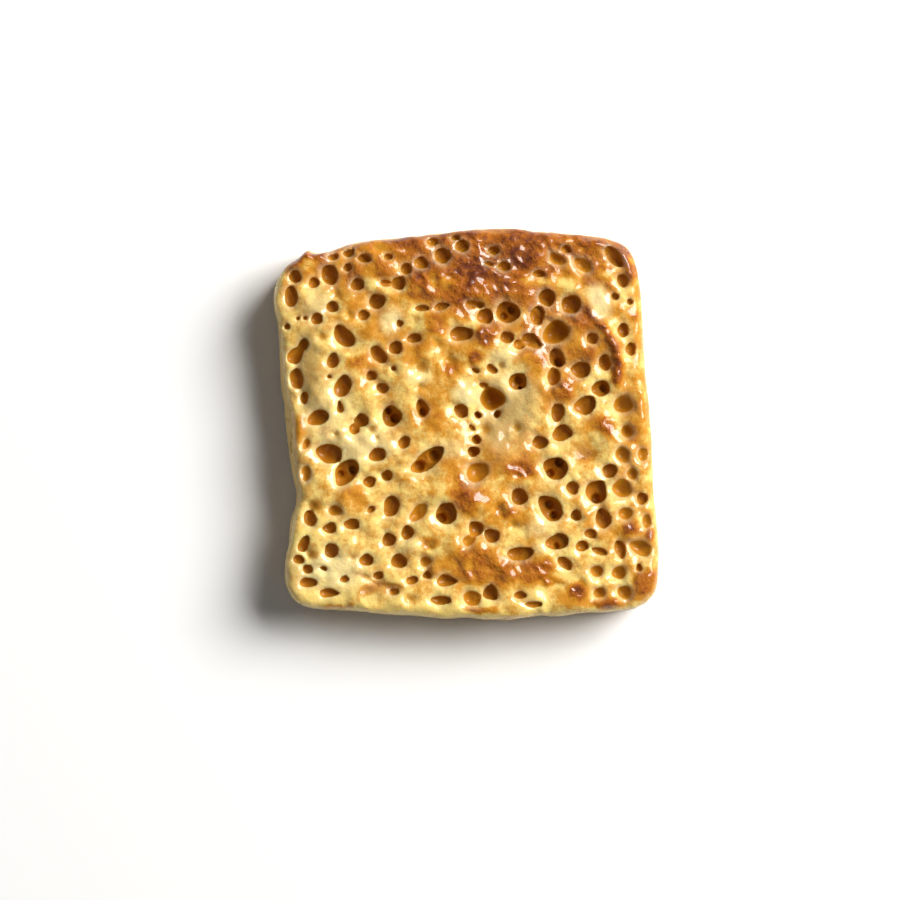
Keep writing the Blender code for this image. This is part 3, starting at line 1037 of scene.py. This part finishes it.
@dataclass(frozen=True)
class Sponge:
    """The crumpet's one piece of batter.

    Attributes:
        outline: Its plan.
        bubbles: The bubbles of its top.
        browned: Where the top is browned, and how much.
        pale: Where it stayed pale, and where painted highlight lies.
        painted_shade: Where painted shade lies, greyish, over hollows and slopes turned from the light.
        swells: Where it stands up or sinks.
        folds: Its ridges and creases.
        height: Its height at the middle.
        drop: How far the top falls towards the rim.
        half_width: Half of its width.
        shoulder: Radius of the top's edge.
        seam_shoulder: The same along the pinched left side.
        base_edge: Radius of the lower edge.
        lean: How far the pinched side leans in.
        wall: The least wall between a bubble and the side.
        side_bubbles: How many small bubbles are open in the sides.
        grid: What it is grown on.
        most_faces: The most triangles of the finished mesh.
    """

    outline: Outline = OUTLINE
    bubbles: tuple[Bubble, ...] = BUBBLES
    browned: tuple[Oval, ...] = BROWNED
    pale: tuple[Oval, ...] = PALE_AND_HIGHLIGHT_PATCHES
    painted_shade: tuple[Oval, ...] = PAINTED_SHADE_PATCHES
    swells: tuple[Oval, ...] = SWELLS
    folds: tuple[Fold, ...] = FOLDS
    height: float = 19.5
    drop: float = 0.65
    half_width: float = 48.5
    shoulder: float = 2.9
    seam_shoulder: float = 1.4
    base_edge: float = 1.8
    lean: float = 2.0
    wall: float = 0.8
    side_bubbles: int = 420
    grid: Grid = Grid((-49.6, -50.0, -0.8), (49.6, 50.0, 21.6), 0.4)
    most_faces: int = 194_000

    def seam(self, x: Array, y: Array) -> Array:
        """1 along the pinched left side, 0 elsewhere."""
        return np.exp(-((y / 15.0) ** 2)) * step_up(-20.0, -38.0, x)

    def stand_in(self, x: Array, y: Array, z: Array | float) -> Array:
        """How far the side stands in from the outline at a height."""
        rise = step_up(6.0, self.height, np.asarray(z, float) + 0.0 * x)
        return 0.9 * rise + self.lean * rise * self.seam(x, y)

    def toast(self, x: Array, y: Array) -> Array:
        """How far the top is browned.

        Args:
            x: Places across.
            y: Places front to back.

        Returns:
            0 where it is pale, to 1.
        """
        ragged = 0.30 * lumps((x, y), 4.0, 5) + 0.16 * lumps((x, y), 1.7, 6)
        left = np.ones_like(x)
        for patch in self.browned:
            left *= 1.0 - patch.amount * step_up(1.35, 0.35, patch.reach(x, y) + ragged)
        for fold in self.folds:
            left *= 1.0 - fold.browned * fold.nearness(x, y)
        return 1.0 - left

    @staticmethod
    def covered(ovals: Sequence[Oval], x: Array, y: Array) -> Array:
        """How far ragged patches cover places.

        Args:
            ovals: The patches.
            x: Places across.
            y: Places front to back.

        Returns:
            0 outside them, to 1.
        """
        ragged = 0.2 * lumps((x, y), 4.0, 15)
        left = np.ones_like(x)
        for patch in ovals:
            left *= 1.0 - patch.amount * step_up(1.2, 0.3, patch.reach(x, y) + ragged)
        return 1.0 - left

    def top(self, x: Array, y: Array) -> Array:
        """The height of the top, without its bubbles.

        Args:
            x: The columns' places across.
            y: The same, front to back.

        Returns:
            A height for each column.
        """
        high = self.height - self.drop * (x * x + y * y) / self.half_width**2
        for swell in self.swells:
            high = high + swell.amount * np.exp(-swell.reach(x, y) ** 2)
        for amount, size, seed in ((0.55, 7.5, 1), (0.4, 3.4, 2), (0.18, 1.6, 3)):
            high = high + amount * lumps((x, y), size, seed)
        wrinkle = 1.0 - 2.0 * np.abs(lumps((x + 0.6 * y, y), 2.6, 4))
        high = high + (0.09 + 0.3 * step_up(0.5, 0.9, self.toast(x, y))) * wrinkle
        for fold in self.folds:
            high = high + fold.height * fold.nearness(x, y)
        return self._dimpled(high)

    def _dimpled(self, high: Array) -> Array:
        """The top with the batter drawn down round each mouth.

        Args:
            high: A height for each column.

        Returns:
            The same, with the dips.
        """
        high = high.copy()
        x, y = self.grid.plan()
        for bubble in self.bubbles:
            size = bubble.mouth.wide / 2
            near = self.grid.window(bubble.mouth.x, bubble.mouth.y, bubble.mouth.long / 2 + 4.0)
            away = np.maximum(bubble.rim_distance(x[near], y[near]), 0.0)
            wide, tight = 0.8 + 0.45 * size, 0.3 + 0.12 * size
            drawn = bubble.drawn(x[near], y[near])
            high[near] -= drawn * (0.38 + 0.3 * size) * np.exp(-((away / wide) ** 2))
            high[near] -= drawn * (0.2 + 0.12 * size) * np.exp(-((away / tight) ** 2))
        return high

    def surface(self, out: Array, top: Array) -> Array:
        """The height of the outside, with the top's edge rounded off.

        Args:
            out: Distance out of the outline, for each column.
            top: Height of the top, for each column.

        Returns:
            A height for each column.
        """
        x, y = self.grid.plan()
        edge = self._edge(x, y)
        over = np.clip(out + self.stand_in(x, y, self.height) + edge, 0.0, edge)
        return top - edge + np.sqrt(edge * edge - over * over)

    def _edge(self, x: Array, y: Array) -> Array:
        """The radius of the top's edge."""
        return self.shoulder + (self.seam_shoulder - self.shoulder) * self.seam(x, y)

    def grow(self, out: Array, top: Array) -> Array:
        """The solid, as distances on the grid.

        Args:
            out: Distance out of the outline, for each column.
            top: Height of the top, for each column.

        Returns:
            Distances, negative inside.
        """
        x, y = self.grid.plan()
        edge = self._edge(x, y)
        levels = self.grid.axis(2)
        field = np.empty((*x.shape, len(levels)), np.float32)
        ripple = 0.35 * lumps((x, y), 6.0, 8)
        for number, z in enumerate(levels):
            tall = np.full_like(x, z)
            rough = ripple + 0.16 * lumps((x, y, tall), 2.4, 9) + 0.08 * lumps((x, y, tall), 1.2, 10)
            side = out + self.stand_in(x, y, z) + rough * step_up(-6.0, -1.0, out)
            body = round_edge(side, z - top, edge)
            field[:, :, number] = round_edge(body, -z + 0.0 * x, self.base_edge)
        self._open(field, out, self.surface(out, top))
        self._pit(field)
        return field

    def _pit(self, field: Array) -> None:
        """Open small bubbles in the sides.

        Args:
            field: The solid's distances, which are changed.
        """
        chance = np.random.default_rng(77)
        line = self.outline.line()
        axes = [self.grid.axis(number) for number in range(3)]
        lengths = np.hypot(*np.diff(line, axis=0, append=line[:1]).T)
        for x, y in line[chance.choice(len(line), self.side_bubbles, p=lengths / lengths.sum())]:
            z = chance.uniform(1.5, self.height - self.shoulder)
            size = chance.uniform(0.3, 0.6) + 0.9 * chance.random() ** 5
            stand_in = float(self.stand_in(np.array(x), np.array(y), z))
            inwards = 1.0 - (stand_in - 0.2 * size) / self.half_width
            near = self.grid.window(x * inwards, y * inwards, 2.5)
            dx, dy = axes[0][near[0]] - x * inwards, axes[1][near[1]] - y * inwards
            dz = (axes[2] - z) / chance.uniform(0.6, 1.3)
            away = np.sqrt(dx[:, None, None] ** 2 + dy[:, None] ** 2 + dz**2)
            field[near] = soft_most(field[near], size - away, 0.2)

    def _open(self, field: Array, out: Array, surface: Array) -> None:
        """Open the bubbles in the solid.

        Args:
            field: The solid's distances, which are changed.
            out: Distance out of the outline, for each column.
            surface: Height of the outside, for each column.
        """
        x, y = self.grid.plan()
        levels = self.grid.axis(2)
        blends = {Kind.TUNNEL: 0.22, Kind.BOWL: 0.7, Kind.BLISTER: 0.5}
        for bubble in self.bubbles:
            near = self.grid.window(bubble.mouth.x, bubble.mouth.y, 0.62 * bubble.mouth.long + 1.5)
            below = surface[near][:, :, None] - levels
            space = bubble.hollow(x[near][:, :, None], y[near][:, :, None], below)
            rim = out[near] + self.stand_in(x[near], y[near], self.height)
            space = np.maximum(space, rim[:, :, None] + self.wall)
            field[near] = soft_most(field[near], -space, blends[bubble.kind])

    def build(self) -> bpy.types.Object:
        """Grow the piece, thin it and dress it.

        Returns:
            The finished piece.
        """
        x, y = self.grid.plan()
        out = self.outline.distance(x, y)
        top = self.top(x, y)
        points, faces = self.grid.skin(self.grow(out, top))
        LOG.info("skin: %d points, %d faces", len(points), len(faces))
        mesh = bpy.data.meshes.new(PIECE)
        mesh.from_pydata((points * MM).tolist(), [], faces.tolist())
        piece = self._thinned(mesh, 2 * len(faces))
        self._paint(piece.data, out, top)
        Crust().dress(piece)
        return piece

    def _thinned(self, mesh: bpy.types.Mesh, triangles: int) -> bpy.types.Object:
        """The mesh as an object, with no more faces than it may have.

        Args:
            mesh: The skin.
            triangles: How many it has.

        Returns:
            The object.
        """
        piece = bpy.data.objects.new(PIECE, mesh)
        bpy.context.scene.collection.objects.link(piece)
        mesh.validate()
        if triangles > self.most_faces:
            thin = piece.modifiers.new("thin", "DECIMATE")
            thin.ratio = self.most_faces / triangles
            graph = bpy.context.evaluated_depsgraph_get()
            lighter = bpy.data.meshes.new_from_object(piece.evaluated_get(graph))
            piece.modifiers.clear()
            piece.data = lighter
            bpy.data.meshes.remove(mesh)
            lighter.name = PIECE
            lighter.validate()
        piece.data.polygons.foreach_set("use_smooth", np.ones(len(piece.data.polygons), bool))
        return piece

    def _paint(self, mesh: bpy.types.Mesh, out: Array, top: Array) -> None:
        """Give each point the values that the finish reads.

        Args:
            mesh: The finished mesh.
            out: Distance out of the outline, for each column.
            top: Height of the top, for each column.
        """
        grid = self.grid
        across, along = grid.plan()
        at = np.empty(3 * len(mesh.vertices), np.float32)
        mesh.vertices.foreach_get("co", at)
        x, y, z = (at.reshape(-1, 3).T / MM).astype(float)
        rim = grid.read(out + self.stand_in(across, along, self.height), x, y)
        depth = grid.read(self.surface(out, top), x, y) - z
        film, lip_and_highlight = np.zeros_like(across), np.zeros_like(across)
        for bubble in self.bubbles:
            near = grid.window(bubble.mouth.x, bubble.mouth.y, bubble.mouth.long / 2 + 2.0)
            if bubble.kind is Kind.BLISTER:
                reach = bubble.place(across[near], along[near])[2]
                film[near] = np.maximum(film[near], step_up(1.15, 0.8, reach))
            else:
                # painted highlight round each mouth, strongest on its lit front left side
                away = np.maximum(bubble.rim_distance(across[near], along[near]), 0.0)
                thin = np.exp(-((away / (0.3 + 0.18 * bubble.mouth.wide)) ** 2))
                lip_and_highlight[near] = np.maximum(lip_and_highlight[near], thin * bubble.drawn(across[near], along[near]))
        inner = step_up(-self.wall, -self.wall - 0.4, rim) * step_up(0.3, 1.2, z)
        values = {
            "toast": grid.read(self.toast(across, along), x, y),
            "sunk": np.maximum(depth, 0.0) * inner,
            "film": grid.read(film, x, y) * inner,
            # painted highlight round the mouths, with a little paleness all round
            "lip_and_highlight": grid.read(lip_and_highlight, x, y),
            # pale patches, partly painted highlight
            "pale": grid.read(self.covered(self.pale, across, along), x, y),
            # painted shade over hollows and slopes turned from the light
            "painted_shade": grid.read(self.covered(self.painted_shade, across, along), x, y),
            "side": (1.0 - inner) * step_up(0.5, 3.5, depth),
            "base": step_up(1.0, 0.3, z),
            "heat": 0.28 + 0.7 * step_up(5.0, 0.5, z) + 0.25 * step_up(9.0, 15.0, z),
        }
        for name in PAINTED:
            layer = mesh.attributes.new(name, "FLOAT", "POINT")
            layer.data.foreach_set("value", values[name].astype(np.float32))


# ------------------------------------------------------------------ the studio


@dataclass(frozen=True)
class Lamp:
    """A soft square light.

    Attributes:
        name: Its name.
        turn: Where it stands round the crumpet, in degrees from the right.
        lift: How high it stands, in degrees.
        away: How far away, in metres.
        size: How wide, in metres.
        power: Its power, in watts.
        colour: Its colour.
    """

    name: str
    turn: float
    lift: float
    away: float
    size: float
    power: float
    colour: tuple[float, float, float] = (1.0, 1.0, 1.0)

    def hang(self) -> None:
        """Hang the light, facing the crumpet."""
        light = bpy.data.lights.new(self.name, "AREA")
        light.size = self.size
        light.energy = self.power
        light.color = self.colour
        piece = bpy.data.objects.new(self.name, light)
        turn, lift = math.radians(self.turn), math.radians(self.lift)
        way = Vector((math.cos(turn) * math.cos(lift), math.sin(turn) * math.cos(lift), math.sin(lift)))
        piece.location = way * self.away
        piece.rotation_euler = way.to_track_quat("Z", "Y").to_euler()
        bpy.context.scene.collection.objects.link(piece)


@dataclass(frozen=True)
class Studio:
    """A plain pale floor, soft light, and a camera straight above.

    Attributes:
        lamps: The lights.
        glow: How strong the light from all round is.
        floor_tone: The floor's colour.
        floor_size: The floor's width, in metres.
        eye: The camera's place above the floor, in millimetres.
        lens: The camera's lens, in millimetres.
    """

    lamps: tuple[Lamp, ...] = (
        Lamp("key", 31.0, 42.0, 2.0, 1.2, 72.0, (1.0, 0.985, 0.955)),
        Lamp("fill", 215.0, 50.0, 1.2, 0.8, 0.5),
    )
    glow: float = 0.08
    floor_tone: Tone = tone(250, 250, 250)
    floor_size: float = 4.0
    eye: tuple[float, float, float] = (-4.1, -6.5, 645.0)
    lens: float = 100.0

    def build(self) -> None:
        """Set the studio up."""
        scene = bpy.context.scene
        self._lay_floor()
        for lamp in self.lamps:
            lamp.hang()
        world = bpy.data.worlds.new("soft_room")
        world.use_nodes = True
        room = world.node_tree.nodes["Background"]
        room.inputs["Color"].default_value = (0.93, 0.96, 1.0, 1.0)
        room.inputs["Strength"].default_value = self.glow
        scene.world = world
        camera = bpy.data.cameras.new("camera")
        camera.lens = self.lens
        camera.clip_start = 0.01
        holder = bpy.data.objects.new("camera", camera)
        holder.location = Vector(self.eye) * MM
        scene.collection.objects.link(holder)
        scene.camera = holder
        scene.view_settings.view_transform = "Standard"

    def _lay_floor(self) -> None:
        """Lay the floor under the crumpet."""
        half = self.floor_size / 2
        mesh = bpy.data.meshes.new("floor")
        corners = ((-half, -half, 0.0), (half, -half, 0.0), (half, half, 0.0), (-half, half, 0.0))
        mesh.from_pydata(corners, [], [(0, 1, 2, 3)])
        board = Board("floor")
        board.shader.inputs["Base Color"].default_value = self.floor_tone
        board.shader.inputs["Roughness"].default_value = 0.8
        mesh.materials.append(board.material)
        floor = bpy.data.objects.new("floor", mesh)
        bpy.context.scene.collection.objects.link(floor)


def main() -> None:
    """Build the crumpet and its studio."""
    logging.basicConfig(level=logging.INFO, format="%(message)s")
    piece = Sponge().build()
    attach(piece, BODY)
    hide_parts(NODE)
    LOG.info("%s: %d faces", piece.name, len(piece.data.polygons))
    Studio().build()
    LOG.info("studio set")


if __name__ == "__main__":
    main()
